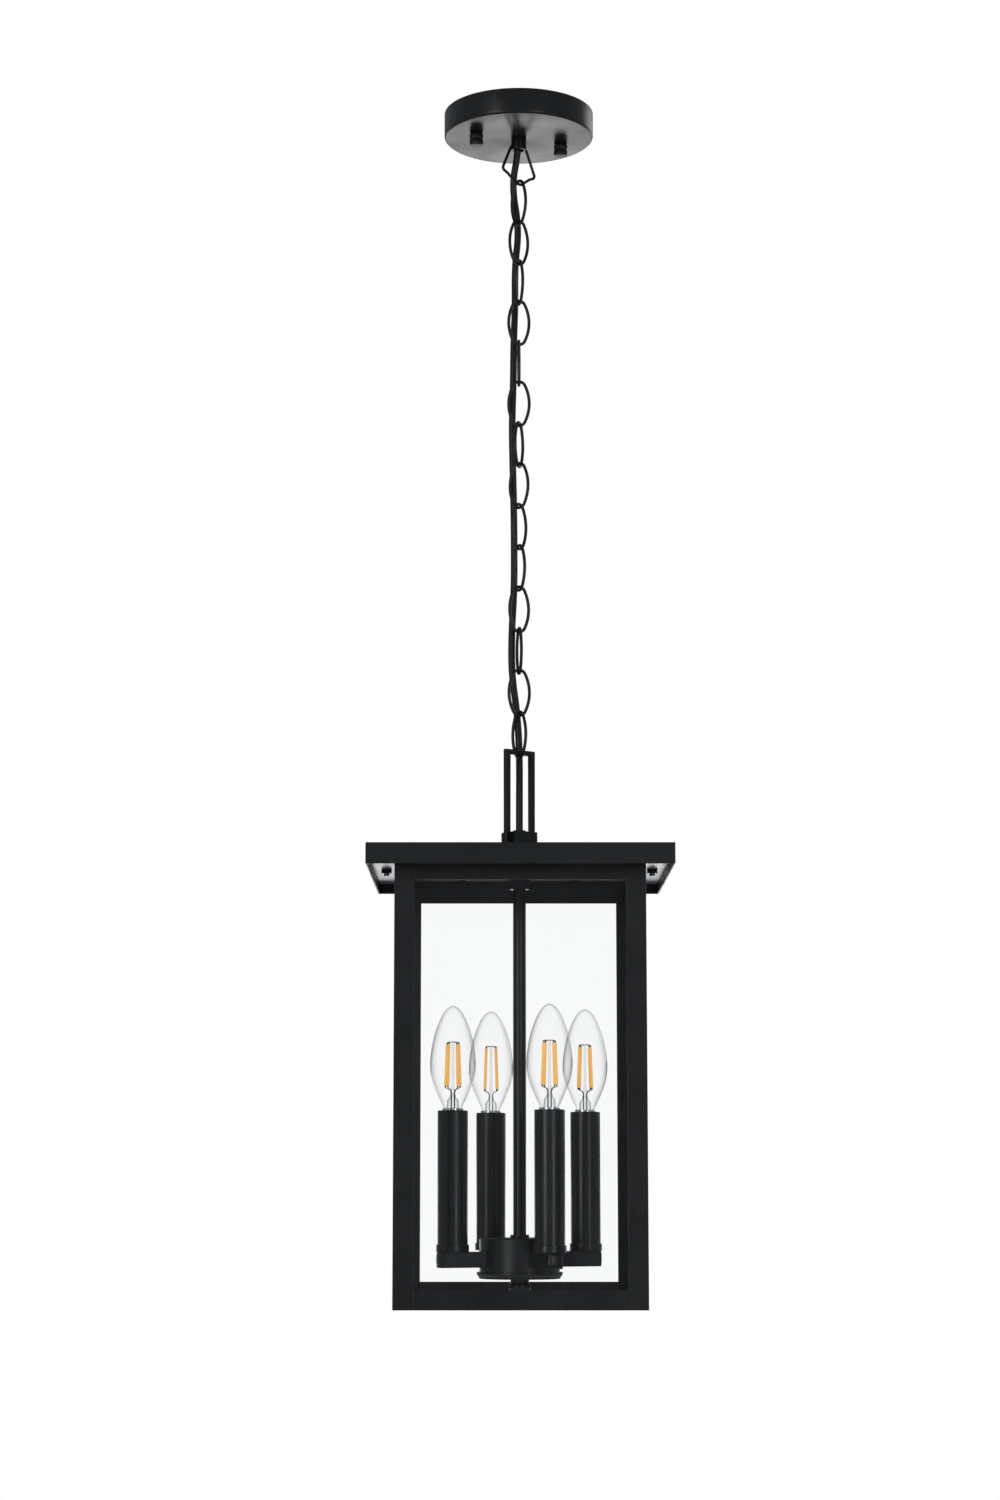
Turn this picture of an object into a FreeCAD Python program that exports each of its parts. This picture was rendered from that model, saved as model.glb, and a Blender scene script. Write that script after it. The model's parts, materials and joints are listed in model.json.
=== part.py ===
"""Hanging lantern: a square glass lantern on a chain, with a canopy at the ceiling.

The origin is the middle of the ceiling plane and +Z points up, so everything hangs
below z = 0. All sizes are in millimetres and angles in degrees.
"""
import FreeCAD, Part
import math
import os
import re

import Sketcher
from FreeCAD import Placement, Rotation, Vector

SIZES = {
    # canopy and ceiling hardware
    "canopy_dia": 120.65, "canopy_deep": 20.4, "canopy_wall": 0.8, "canopy_edge": 1.4,
    "canopy_hole_dia": 10.4, "bar_yaw": 20, "bar_long": 104, "bar_wide": 20, "bar_thick": 2,
    "box_pitch": 88.9, "box_hole_dia": 4.8, "screw_pitch": 73, "screw_dia": 4,
    "screw_low": -28.4, "screw_gap": 0.1, "earth_place": 24, "nipple_dia": 9.8,
    "nipple_bore": 6.6, "nipple_low": -25, "nut_wide": 14, "nut_thick": 3,
    "cap_nut_dia": 11, "cap_nut_tall": 10, "collar_dia": 12.2, "collar_tall": 9.8,
    "collar_bore": 8.2,
    # bail
    "bail_yaw": 42, "bail_pivot": -28, "bail_wire": 2.3, "bail_bore": 2.4, "bail_end": 4.2,
    "bail_neck": 8, "bail_wide": 18, "bail_shoulder": -49.5, "bail_hip": 12,
    "bail_hip_level": -52, "bail_low": -58.65, "bail_foot": 2.6,
    # chain
    "link_count": 14, "link_long": 36.3, "link_wide": 16.5, "link_wire": 2.5,
    "link_end_bend": 5.2, "link_gap": 0.25, "last_link": -510.3,
    # loop and block on the roof
    "loop_yaw": 38, "loop_inside": 20.4, "loop_bar": 4, "loop_edge": 0.8, "loop_top": -522.8,
    "block_wide": 20.4, "block_tall": 21, "cord_dia": 5.6, "bushing_flange": 12,
    # roof and plate
    "roof_wide": 231, "roof_tall": 16, "roof_top": -609, "sheet": 1.2, "plate_wide": 228,
    "plate_top": -615.8, "stud_place": 104, "stud_dia": 4, "stud_low": -622.5,
    "roof_nut_dia": 8.1, "roof_nut_tall": 3.2,
    # stem and hub
    "coupling_dia": 16.5, "coupling_low": -633, "stem_dia": 10, "stem_bore": 7,
    "stem_top": -629, "stem_low": -936, "seat_dia": 14.6, "seat_tall": 2.4,
    "hub_dia": 62, "hub_top": -901.9, "hub_tall": 25.8, "hub_wall": 1.5, "base_dia": 66.6,
    "base_tall": 5.1, "finial_low": -941, "finial_neck": 14.5, "finial_rim": 17.3,
    # arms and candles
    "first_arm": 23.5, "ring_rad": 56, "arm_wide": 11.8, "arm_wall": 1, "arm_start": 26,
    "arm_end": 66.4, "arm_top": -912.2, "plug_thick": 1, "lead_dia": 2.4, "cup_dia": 25.2,
    "cup_tall": 5.6, "cup_floor": 1.5, "sleeve_dia": 23.2, "sleeve_wall": 1.2,
    "sleeve_top": -805.2, "post_dia": 7, "post_bore": 4, "post_top": -850,
    "socket_dia": 16, "socket_top": -809, "base_rad": 6, "lamp_base_low": -828,
    "lamp_neck": -806, "lamp_tip": -725.2, "lamp_dia": 35, "lamp_wall": 0.8,
    # cage
    "cage_wide": 189, "cage_top": -617, "cage_low": -953, "post_wide": 15.3,
    "frame_thick": 1.5, "top_rail_tall": 18, "low_rail_tall": 15, "shelf": 12,
    "pane_thick": 2.5, "pane_wide": 179.6, "pane_top": -622.7, "clip_place": 47,
    "clip_wide": 8, "clip_thick": 1.2, "clip_tall": 12,
}

# Which way each link's plane faces, in degrees about the vertical, from the top link down.
LINK_YAWS = [132, 28, 112, 8, 88, 176, 68, 150, 48, 122, 24, 102, 12, 128]

# The supply cord's route, from inside the collar down behind the chain to the block.
CORD_ROUTE = [
    (0, 0, -4), (0, 0, -30), (-5.7, 8.2, -57.3), (0.4, 15.4, -90.9), (-3.2, 14.3, -124.5),
    (-2.9, 10.4, -158), (-4.2, 6.5, -191.6), (-4.5, 5.3, -225.1), (-5.6, 6, -258.7),
    (-4.9, 7.5, -292.2), (-4.1, 8.5, -325.8), (-3.8, 11.6, -359.3), (-3.9, 11.3, -392.9),
    (-5.9, 6.7, -426.4), (-6.1, 6.6, -460), (-1.3, 9.1, -493.5), (0.3, 7.6, -527), (0, 0, -566),
    (0, 0, -594),
]

UP = Vector(0, 0, 1)

doc = FreeCAD.newDocument("hanging_lantern")
sheet = doc.addObject("Spreadsheet::Sheet", "dims")
for row, (alias, value) in enumerate(SIZES.items(), start=1):
    sheet.set(f"A{row}", str(value))
    sheet.setAlias(f"A{row}", alias)
doc.recompute()
nodes = {}


# ---------------------------------------------------------------- helpers

def formula(text):
    """The expression that reads text's names from the sheet."""
    return re.sub(r"[a-z_]+", lambda word: "dims." + word[0] if word[0] in SIZES else word[0], text)


def size(text):
    """The number that an expression comes to."""
    return float(sheet.evalExpression(re.sub(r"dims\.", "", formula(text))))


def bind(thing, **formulas):
    """Tie properties of an object to expressions."""
    for prop, text in formulas.items():
        thing.setExpression(prop, formula(text))
    return thing


def place(thing, x="0", y="0", z="0", yaw=0.0):
    """Turn an object about the vertical, and tie its position to expressions."""
    thing.Placement = Placement(Vector(), Rotation(UP, yaw))
    for axis, text in zip("xyz", (x, y, z)):
        thing.setExpression("Placement.Base." + axis, formula(text))
    return thing


def node(name, thing):
    """Name a finished sub-part; its Label is the name of its file."""
    thing.Label = name
    nodes[name] = thing
    return thing


def box(name, x_size, y_size, z_size, x="0", y="0", z="0"):
    """A box whose middle is over (x, y) and whose foot is at z."""
    block = doc.addObject("Part::Box", name)
    bind(block, Length=x_size, Width=y_size, Height=z_size)
    return place(block, f"{x} - ({x_size}) / 2", f"{y} - ({y_size}) / 2", z)


def rod(name, dia, low, high, x="0", y="0"):
    """An upright cylinder from low to high."""
    cylinder = doc.addObject("Part::Cylinder", name)
    bind(cylinder, Radius=f"({dia}) / 2", Height=f"({high}) - ({low})")
    return place(cylinder, x, y, low)


def hexagon(name, corners, low, high, x="0"):
    """An upright hexagonal prism, sized across its corners."""
    prism = doc.addObject("Part::Prism", name)
    prism.Polygon = 6
    bind(prism, Circumradius=f"({corners}) / 2", Height=f"({high}) - ({low})")
    return place(prism, x, "0", low)


def cut(name, base, *tools):
    """Base without its tools."""
    result = doc.addObject("Part::Cut", name)
    result.Base = base
    result.Tool = tools[0] if len(tools) == 1 else fuse(name + "_tools", *tools)
    return result


def fuse(name, *parts):
    """One solid from several that meet."""
    result = doc.addObject("Part::MultiFuse", name)
    result.Shapes = list(parts)
    return result


def group(name, parts):
    """Separate solids in one node."""
    result = doc.addObject("Part::Compound", name)
    result.Links = list(parts)
    return result


def pipe(name, outer, inner, low, high):
    """A round tube."""
    bore = rod(name + "_bore", inner, f"({low}) - 1", f"({high}) + 1")
    return cut(name, rod(name + "_bar", outer, low, high), bore)


def turned(name, *profile):
    """A body turned about the vertical from a closed profile of (radius, level) corners."""
    body = doc.addObject("PartDesign::Body", name)
    sketch = body.newObject("Sketcher::SketchObject", name + "_profile")
    plane = next(f for f in body.Origin.OriginFeatures if f.Role == "XZ_Plane")
    sketch.AttachmentSupport = [(plane, "")]
    sketch.MapMode = "FlatFace"
    corners = [Vector(size(radius), size(level), 0) for radius, level in profile]
    count = len(corners)
    for index, corner in enumerate(corners):
        sketch.addGeometry(Part.LineSegment(corner, corners[(index + 1) % count]), False)
    for index in range(count):
        sketch.addConstraint(Sketcher.Constraint("Coincident", index, 2, (index + 1) % count, 1))
    for index, (radius, level) in enumerate(profile):
        for kind, text in (("DistanceX", radius), ("DistanceY", level)):
            spot = sketch.addConstraint(Sketcher.Constraint(kind, index, 1, size(text)))
            sketch.setExpression(f"Constraints[{spot}]", formula(text))
    turn = body.newObject("PartDesign::Revolution", name + "_turn")
    turn.Profile = sketch
    turn.ReferenceAxis = (sketch, ["V_Axis"])
    turn.Angle = 360
    return body


def shaped(name, shape):
    """A sub-part whose shape is made with Part's own functions."""
    feature = doc.addObject("Part::Feature", name)
    feature.Shape = shape
    return feature


def rounded_path(points, radii):
    """Straight runs through the points, joined by tangent arcs of the given radii."""
    edges = []
    start = points[0]
    for index, radius in enumerate(radii, start=1):
        corner = points[index]
        back = (points[index - 1] - corner).normalize()
        onward = (points[index + 1] - corner).normalize()
        half = (math.pi - back.getAngle(onward)) / 2
        reach = radius * math.tan(half)
        first = corner + back * reach
        last = corner + onward * reach
        middle_way = (back + onward).normalize()
        middle = corner + middle_way * (radius / math.cos(half) - radius)
        if (first - start).Length > 1e-6:
            edges.append(Part.LineSegment(start, first).toShape())
        edges.append(Part.Arc(first, middle, last).toShape())
        start = last
    edges.append(Part.LineSegment(start, points[-1]).toShape())
    return Part.Wire(edges)


def round_sweep(path, start, direction, radius):
    """A round bar along a path."""
    ring = Part.Wire([Part.Circle(start, direction, radius).toShape()])
    return path.makePipeShell([ring], True, False)


# ---------------------------------------------------------------- ceiling end

def canopy():
    """A spun cup, open to the ceiling, with a centre hole and two screw holes."""
    rim, deep, wall, edge = "canopy_dia / 2", "canopy_deep", "canopy_wall", "canopy_edge"
    shell = turned(
        "canopy_shell", (rim, "0"), (rim, f"{edge} - {deep}"), (f"{rim} - {edge}", f"-{deep}"),
        ("canopy_hole_dia / 2", f"-{deep}"), ("canopy_hole_dia / 2", f"{wall} - {deep}"),
        (f"{rim} - {edge} - {wall} / 2", f"{wall} - {deep}"),
        (f"{rim} - {wall}", f"{edge} + {wall} / 2 - {deep}"), (f"{rim} - {wall}", "0"))
    holes = [rod(f"canopy_hole_{side}", "screw_dia + 2 * screw_gap", "-canopy_deep - 1", "-1",
                 f"{side} * screw_pitch / 2") for side in (-1, 1)]
    turned_holes = place(group("canopy_holes", holes), yaw=size("bar_yaw"))
    node("canopy", cut("canopy", shell, turned_holes))


def crossbar():
    """The steel strap across the ceiling box, and the hardware that hangs on it."""
    strap = box("crossbar_strap", "bar_long", "bar_wide", "bar_thick", z="-bar_thick")
    holes = [rod("crossbar_centre", "nipple_dia", "-bar_thick - 1", "1")]
    for side in (-1, 1):
        holes.append(rod(f"crossbar_box_hole_{side}", "box_hole_dia", "-bar_thick - 1", "1",
                         f"{side} * box_pitch / 2"))
        holes.append(rod(f"crossbar_screw_hole_{side}", "screw_dia", "-bar_thick - 1", "1",
                         f"{side} * screw_pitch / 2"))
    holes.append(rod("crossbar_earth_hole", "screw_dia", "-bar_thick - 1", "1", "earth_place"))
    bar = cut("crossbar", strap, *holes)
    node("crossbar", place(bar, yaw=size("bar_yaw")))
    screw = fuse("earth_screw", rod("earth_shank", "screw_dia", "-bar_thick", "-0.2", "earth_place"),
                 rod("earth_head", "2 * screw_dia", "-bar_thick - 2.6", "-bar_thick", "earth_place"))
    node("ground_screw", place(screw, yaw=size("bar_yaw")))


def crossbar_nipple():
    """The threaded tube between crossbar and collar, and its two nuts."""
    node("crossbar_nipple", pipe("crossbar_nipple", "nipple_dia", "nipple_bore", "nipple_low", "-0.2"))
    nuts = []
    for index, top in enumerate(("-bar_thick", "canopy_wall + nut_thick - canopy_deep")):
        nut = hexagon(f"lock_nut_{index}", "nut_wide", f"{top} - nut_thick", top)
        bore = rod(f"lock_nut_bore_{index}", "nipple_dia", f"{top} - nut_thick - 1", f"{top} + 1")
        nuts.append(cut(f"nipple_lock_nut_{index}", nut, bore))
    node("nipple_lock_nuts", group("nipple_lock_nuts", nuts))


def canopy_fasteners():
    """Two long screws and the knurled nuts that hold the canopy up."""
    screws = []
    caps = []
    grip, top, foot = "cap_nut_dia / 2", "-canopy_deep", "-canopy_deep - cap_nut_tall"
    for side in (-1, 1):
        x = f"{side} * screw_pitch / 2"
        screws.append(rod(f"canopy_screw_{side}", "screw_dia", "screw_low", "-0.2", x))
        cap = turned(
            f"cap_nut_{side}", ("screw_dia / 2", top), (f"{grip} - 0.9", top),
            (grip, f"{top} - 0.7"), (grip, f"{top} - 4.6"), (f"{grip} - 0.5", f"{top} - 4.9"),
            (f"{grip} - 0.5", f"{top} - 5.4"), (grip, f"{top} - 5.7"), (grip, f"{foot} + 0.8"),
            (f"{grip} - 0.8", foot), ("0", foot), ("0", "screw_low"), ("screw_dia / 2", "screw_low"))
        caps.append(place(cap, x))
    yaw = size("bar_yaw")
    node("canopy_screws", place(group("canopy_screws", screws), yaw=yaw))
    node("canopy_cap_nuts", place(group("canopy_cap_nuts", caps), yaw=yaw))


def canopy_collar():
    """The turned collar under the canopy, cross-drilled for the bail's ends."""
    side, top, foot = "collar_dia / 2", "-canopy_deep", "-canopy_deep - collar_tall"
    sleeve = turned(
        "collar_sleeve", ("nipple_dia / 2", top), (side, top), (side, f"{foot} + 0.8"),
        (f"{side} - 0.8", foot), ("collar_bore / 2", foot), ("collar_bore / 2", "nipple_low"),
        ("nipple_dia / 2", "nipple_low"))
    cross_hole = bind(doc.addObject("Part::Cylinder", "collar_cross_hole"),
                      Radius="bail_bore / 2", Height="2 * collar_dia")
    yaw = size("bail_yaw")
    along = Vector(math.cos(math.radians(yaw)), math.sin(math.radians(yaw)), 0)
    cross_hole.Placement = Placement(along * -size("collar_dia") + UP * size("bail_pivot"),
                                     Rotation(UP, along))
    node("canopy_collar", cut("canopy_collar", sleeve, cross_hole))


def bail_loop():
    """One bent wire: two short pins in the collar, wide shoulders and a V to the chain."""
    half = [("bail_end", "bail_pivot"), ("bail_neck", "bail_pivot"),
            ("bail_wide", "bail_shoulder"), ("bail_hip", "bail_hip_level"),
            ("bail_foot", "bail_low")]
    right = [Vector(size(across), 0, size(level)) for across, level in half]
    left = [Vector(-point.x, 0, point.z) for point in reversed(right)]
    bends = [3, 2.6, 3, 2.6]
    path = rounded_path(right + left, bends + bends[::-1])
    wire = round_sweep(path, right[0], Vector(1, 0, 0), size("bail_wire") / 2)
    part = shaped("bail_loop", wire)
    part.Placement = Placement(Vector(), Rotation(UP, size("bail_yaw")))
    node("bail_loop", part)


# ---------------------------------------------------------------- chain

def link_shape():
    """An oval link about its middle: two tight ends and two long side arcs."""
    tall, wide, bend = size("link_long / 2"), size("link_wide / 2"), size("link_end_bend")
    reach = tall - bend
    side = (wide ** 2 + reach ** 2 - bend ** 2) / (2 * (wide - bend))
    slope = math.atan2(reach, side - wide)
    ends = []
    for quarter in ((1, 1), (-1, 1), (-1, -1), (1, -1)):
        ends.append(Vector(quarter[0] * bend * math.cos(slope), 0,
                           quarter[1] * (reach + bend * math.sin(slope))))
    middles = [Vector(0, 0, tall), Vector(-wide, 0, 0), Vector(0, 0, -tall), Vector(wide, 0, 0)]
    arcs = []
    for index, middle in enumerate(middles):
        arcs.append(Part.Arc(ends[index], middle, ends[(index + 1) % 4]).toShape())
    oval = Part.Wire(arcs)
    start = oval.OrderedEdges[0]
    direction = start.tangentAt(start.FirstParameter)
    return round_sweep(oval, start.valueAt(start.FirstParameter), direction, size("link_wire") / 2)


def chain():
    """The links, each hanging in the one above and turned by its own yaw."""
    count = int(size("link_count"))
    pitch = size("link_long - link_wire - link_gap")
    for number, yaw in enumerate(LINK_YAWS, start=1):
        link = shaped(f"chain_link_{number:02d}", link_shape())
        level = size("last_link") + (count - number) * pitch
        link.Placement = Placement(Vector(0, 0, level), Rotation(UP, yaw))
        node(f"chain_link_{number:02d}", link)


# ---------------------------------------------------------------- cord

def supply_cord():
    """The round cord behind the chain: straight runs joined by large tangent arcs."""
    points = [Vector(*point) for point in CORD_ROUTE]
    radii = []
    for before, corner, after in zip(points, points[1:], points[2:]):
        back, onward = before - corner, after - corner
        half = (math.pi - back.getAngle(onward)) / 2
        radii.append(0.45 * min(back.Length, onward.Length) / math.tan(half))
    path = rounded_path(points, radii)
    section = size("cord_dia") / 2
    tube = round_sweep(path, points[0], points[1] - points[0], section)
    print("cord arc radii:", [round(radius, 1) for radius in radii])
    print("cord length", round(path.Length, 1), "volume share",
          round(tube.Volume / (math.pi * section ** 2 * path.Length), 5))
    node("supply_cord", shaped("supply_cord", tube))


# ---------------------------------------------------------------- lantern top

def hanger_loop():
    """A U of square bar, with softened corners, that stands on the roof."""
    outside = size("loop_inside / 2 + loop_bar")
    bar, top, foot = size("loop_bar"), size("loop_top"), size("roof_top")
    outer = Part.makeBox(2 * outside, bar, top - foot, Vector(-outside, -bar / 2, foot))
    inside = outside - bar
    inner = Part.makeBox(2 * inside, 3 * bar, top - foot, Vector(-inside, -1.5 * bar, foot - bar))
    frame = outer.cut(inner)
    level = [edge for edge in frame.Edges if all(vertex.Z > foot + 1 for vertex in edge.Vertexes)
             and edge.BoundBox.YLength < 0.01]
    rounded = frame.makeFillet(size("loop_edge"), level)
    part = shaped("hanger_loop", rounded)
    part.Placement = Placement(Vector(), Rotation(UP, size("loop_yaw")))
    node("hanger_loop", part)


def hanger_block():
    """The square block between the loop's legs, its bushing and its threaded tube."""
    bore = rod("block_bore", "nipple_dia", "roof_top - 1", "roof_top + block_tall + 1")
    cube = box("block_cube", "block_wide", "block_wide", "block_tall", z="roof_top")
    node("hanger_block", place(cut("hanger_block", cube, bore), yaw=size("loop_yaw")))
    top = "roof_top + block_tall"
    node("cord_bushing", turned(
        "cord_bushing", ("cord_dia / 2", f"{top} - 6"), ("nipple_dia / 2", f"{top} - 6"),
        ("nipple_dia / 2", top), ("bushing_flange / 2", top),
        ("bushing_flange / 2", f"{top} + 0.6"), ("cord_dia / 2 + 1.6", f"{top} + 1.6"),
        ("cord_dia / 2", f"{top} + 1.6")))
    node("hanger_nipple", pipe("hanger_nipple", "nipple_dia", "nipple_bore", "stem_top + 1",
                               f"{top} - 6"))


def roof():
    """The square tray, its two studs, their nuts and the plate that they hold."""
    outer = box("roof_outer", "roof_wide", "roof_wide", "roof_tall", z="roof_top - roof_tall")
    inner = box("roof_inner", "roof_wide - 2 * sheet", "roof_wide - 2 * sheet", "roof_tall",
                z="roof_top - roof_tall - sheet")
    hole = rod("roof_hole", "nipple_dia", "roof_top - 5", "roof_top + 1")
    node("roof_cover", cut("roof_cover", outer, inner, hole))
    plate = box("plate_sheet", "plate_wide", "plate_wide", "sheet", z="plate_top - sheet")
    holes = [rod("plate_hole", "nipple_dia", "plate_top - 5", "plate_top + 1")]
    studs = []
    nuts = []
    under = "plate_top - sheet"
    for side in (-1, 1):
        x = f"{side} * stud_place"
        holes.append(rod(f"plate_hole_{side}", "stud_dia", "plate_top - 5", "plate_top + 1", x))
        studs.append(rod(f"roof_stud_{side}", "stud_dia", "stud_low", "roof_top - sheet", x))
        nut = hexagon(f"stud_nut_{side}", "roof_nut_dia", f"{under} - roof_nut_tall", under, x)
        bore = rod(f"stud_nut_bore_{side}", "stud_dia", "stud_low", "plate_top", x)
        nuts.append(cut(f"roof_nut_{side}", nut, bore))
    node("top_plate", cut("top_plate", plate, *holes))
    node("roof_studs", group("roof_studs", studs))
    node("roof_nuts", group("roof_nuts", nuts))


def stem():
    """The hexagon coupling under the plate, the tube below it and the wiring inside."""
    under = "plate_top - sheet"
    coupling = hexagon("coupling_bar", "coupling_dia", "coupling_low", under)
    upper = rod("coupling_upper_bore", "nipple_dia", "stem_top", f"{under} + 1")
    lower = rod("coupling_lower_bore", "stem_dia", "coupling_low - 1", "stem_top")
    node("stem_coupling", cut("stem_coupling", coupling, upper, lower))
    node("stem", pipe("stem", "stem_dia", "stem_bore", "stem_low", "stem_top"))
    node("stem_lead", rod("stem_lead", "cord_dia", "hub_top - 16", "roof_top + block_tall - 6"))
    node("stem_seat", pipe("stem_seat", "seat_dia", "stem_dia", "hub_top", "hub_top + seat_tall"))


# ---------------------------------------------------------------- light cluster

def around(name, make):
    """Four copies of a piece, each on its own arm about the stem."""
    copies = []
    for index in range(4):
        copy = make(f"{name}_{index + 1}")
        yaw = size("first_arm") + 90 * index
        copies.append(place(group(f"{name}_arm_{index + 1}", [copy]), yaw=yaw))
    node(name, group(name, copies))


def hub():
    """The round hub: a cup that the arms pass through, a base and a finial."""
    top, foot, side = "hub_top", "hub_top - hub_tall", "hub_dia / 2"
    shell = turned(
        "hub_shell", ("stem_dia / 2", top), (f"{side} - 1", top), (side, f"{top} - 1"),
        (side, foot), (f"{side} - hub_wall", foot), (f"{side} - hub_wall", f"{top} - hub_wall"),
        ("stem_dia / 2", f"{top} - hub_wall"))
    slots = []
    for index in range(2):
        slot = box(f"hub_slot_{index}", "2 * hub_dia", "arm_wide", "arm_wide", z="arm_top - arm_wide")
        slots.append(place(group(f"hub_slots_{index}", [slot]), yaw=size("first_arm") + 90 * index))
    node("hub_cup", cut("hub_cup", shell, *slots))
    low, rim = f"{foot} - base_tall", "base_dia / 2"
    node("hub_base", turned(
        "hub_base", ("stem_dia / 2", foot), (rim, foot), (rim, f"{foot} - 1.8"),
        (f"{rim} - 1.6", f"{foot} - 3.2"), (f"{rim} - 2.2", low), ("stem_dia / 2", low)))
    neck, lip = "finial_neck / 2", "finial_rim / 2"
    node("hub_finial", turned(
        "hub_finial", ("stem_dia / 2", low), (neck, low), (neck, f"{low} - 3.4"),
        (lip, f"{low} - 4.6"), (lip, "finial_low + 0.8"), (f"{lip} - 1", "finial_low"),
        ("0", "finial_low"), ("0", "stem_low"), ("stem_dia / 2", "stem_low")))


def lamp_arm(name):
    """A square tube with a wire hole under its candle."""
    length, middle = "arm_end - arm_start", "(arm_end + arm_start) / 2"
    inside, foot = "arm_wide - 2 * arm_wall", "arm_top - arm_wide"
    outer = box(name + "_outer", length, "arm_wide", "arm_wide", middle, z=foot)
    inner = box(name + "_inner", f"{length} + 2", inside, inside, middle, z=f"{foot} + arm_wall")
    hole = rod(name + "_hole", "post_bore", "arm_top - 2 * arm_wall", "arm_top + 1", "ring_rad")
    return cut(name, outer, inner, hole)


def arm_plug(name):
    """The stepped cap that closes an arm's end."""
    face = box(name + "_face", "plug_thick", "arm_wide", "arm_wide", "arm_end + plug_thick / 2",
               z="arm_top - arm_wide")
    crown = box(name + "_crown", "plug_thick", "arm_wide - 2", "arm_wide - 2",
                "arm_end + 1.5 * plug_thick", z="arm_top - arm_wide + 1")
    return fuse(name, face, crown)


def arm_lead(name):
    """The wire from the hub through an arm and up the post to the socket."""
    middle, ring = size("arm_top - arm_wide / 2"), size("ring_rad")
    points = [Vector(size("stem_dia / 2 + 3"), 0, middle), Vector(ring, 0, middle),
              Vector(ring, 0, size("post_top"))]
    path = rounded_path(points, [3])
    return shaped(name, round_sweep(path, points[0], Vector(1, 0, 0), size("lead_dia") / 2))


def turned_on_arm(*profile):
    """A maker of turned pieces that stand on the candle circle."""
    def make(name):
        return place(turned(name, *profile), "ring_rad")
    return make


def candles():
    """Cup, sleeve, post, socket and lamp on each arm."""
    side, floor = "cup_dia / 2", "arm_top + cup_floor"
    around("candle_cups", turned_on_arm(
        ("post_dia / 2", "arm_top"), (f"{side} - 0.6", "arm_top"), (side, "arm_top + 0.6"),
        (side, "arm_top + cup_tall"), ("sleeve_dia / 2", "arm_top + cup_tall"),
        ("sleeve_dia / 2", floor), ("post_dia / 2", floor)))
    outer, inner = "sleeve_dia / 2", "sleeve_dia / 2 - sleeve_wall"
    around("candle_sleeves", turned_on_arm(
        (inner, floor), (outer, floor), (outer, "sleeve_top - 0.4"),
        (f"{outer} - 0.4", "sleeve_top"), (inner, "sleeve_top")))
    around("socket_posts", turned_on_arm(
        ("post_bore / 2", "arm_top"), ("post_dia / 2", "arm_top"), ("post_dia / 2", "post_top"),
        ("post_bore / 2", "post_top")))
    wide = "socket_dia / 2"
    around("lamp_sockets", turned_on_arm(
        ("post_bore / 2", "post_top"), (f"{wide} - 2", "post_top"), (wide, "post_top + 6"),
        (wide, "socket_top"), ("base_rad", "socket_top"), ("base_rad", "lamp_base_low - 2"),
        ("post_bore / 2", "lamp_base_low - 2")))


# The lamp's outline above its neck, as shares of its height and of its radius.
LAMP_OUTLINE = [(0, 0.37), (0.1, 0.52), (0.25, 0.83), (0.38, 0.98), (0.45, 1), (0.55, 0.97),
                (0.7, 0.83), (0.82, 0.64), (0.91, 0.42), (0.97, 0.21)]


def lamps():
    """Torpedo filament lamps: metal base, glass envelope, glass mount and four filaments."""
    around("bulb_bases", turned_on_arm(
        ("0", "lamp_base_low"), ("base_rad - 2", "lamp_base_low"),
        ("base_rad", "lamp_base_low + 2"), ("base_rad", "lamp_neck"), ("0", "lamp_neck")))
    outer = []
    inner = []
    for share, width in LAMP_OUTLINE:
        level = f"lamp_neck + (lamp_tip - lamp_neck) * {share}"
        outer.append((f"lamp_dia / 2 * {width}", level))
        inner.append((f"lamp_dia / 2 * {width} - lamp_wall", level))
    inner[0] = (inner[0][0], "lamp_neck + lamp_wall")
    envelope = [("0", "lamp_neck")] + outer + [("0", "lamp_tip"), ("0", "lamp_tip - 2 * lamp_wall")]
    around("bulb_glass", turned_on_arm(*envelope, *reversed(inner), ("0", "lamp_neck + lamp_wall")))
    around("bulb_filaments", lamp_mount)


def lamp_mount(name):
    """The glass mount inside a lamp, with four filaments standing round its top."""
    foot = "lamp_neck + lamp_wall"
    pieces = [rod(name + "_stem", "4", foot, "lamp_neck + 22", "ring_rad")]
    for index in range(4):
        turn = math.radians(45 + 90 * index)
        x = f"ring_rad + {3.4 * math.cos(turn):.4f}"
        y = f"{3.4 * math.sin(turn):.4f}"
        pieces.append(rod(f"{name}_filament_{index}", "1.5", "lamp_neck + 20", "lamp_neck + 58", x, y))
    return group(name, pieces)


# ---------------------------------------------------------------- cage

SIDES = {"front": -90, "right": 0, "back": 90, "left": 180}


def corner_posts():
    """Four angle posts, one at each corner of the cage."""
    tall = "cage_top - cage_low"
    edge = "cage_wide / 2"
    for index in range(4):
        outer = box(f"post_outer_{index}", "post_wide", "post_wide", tall,
                    f"{edge} - post_wide / 2", f"{edge} - post_wide / 2", "cage_low")
        inner = box(f"post_inner_{index}", "post_wide", "post_wide", f"{tall} + 2",
                    f"{edge} - frame_thick - post_wide / 2", f"{edge} - frame_thick - post_wide / 2",
                    "cage_low - 1")
        post = cut(f"post_{index}", outer, inner)
        node(f"corner_post_{index + 1}", place(post, yaw=90 * index))


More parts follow.
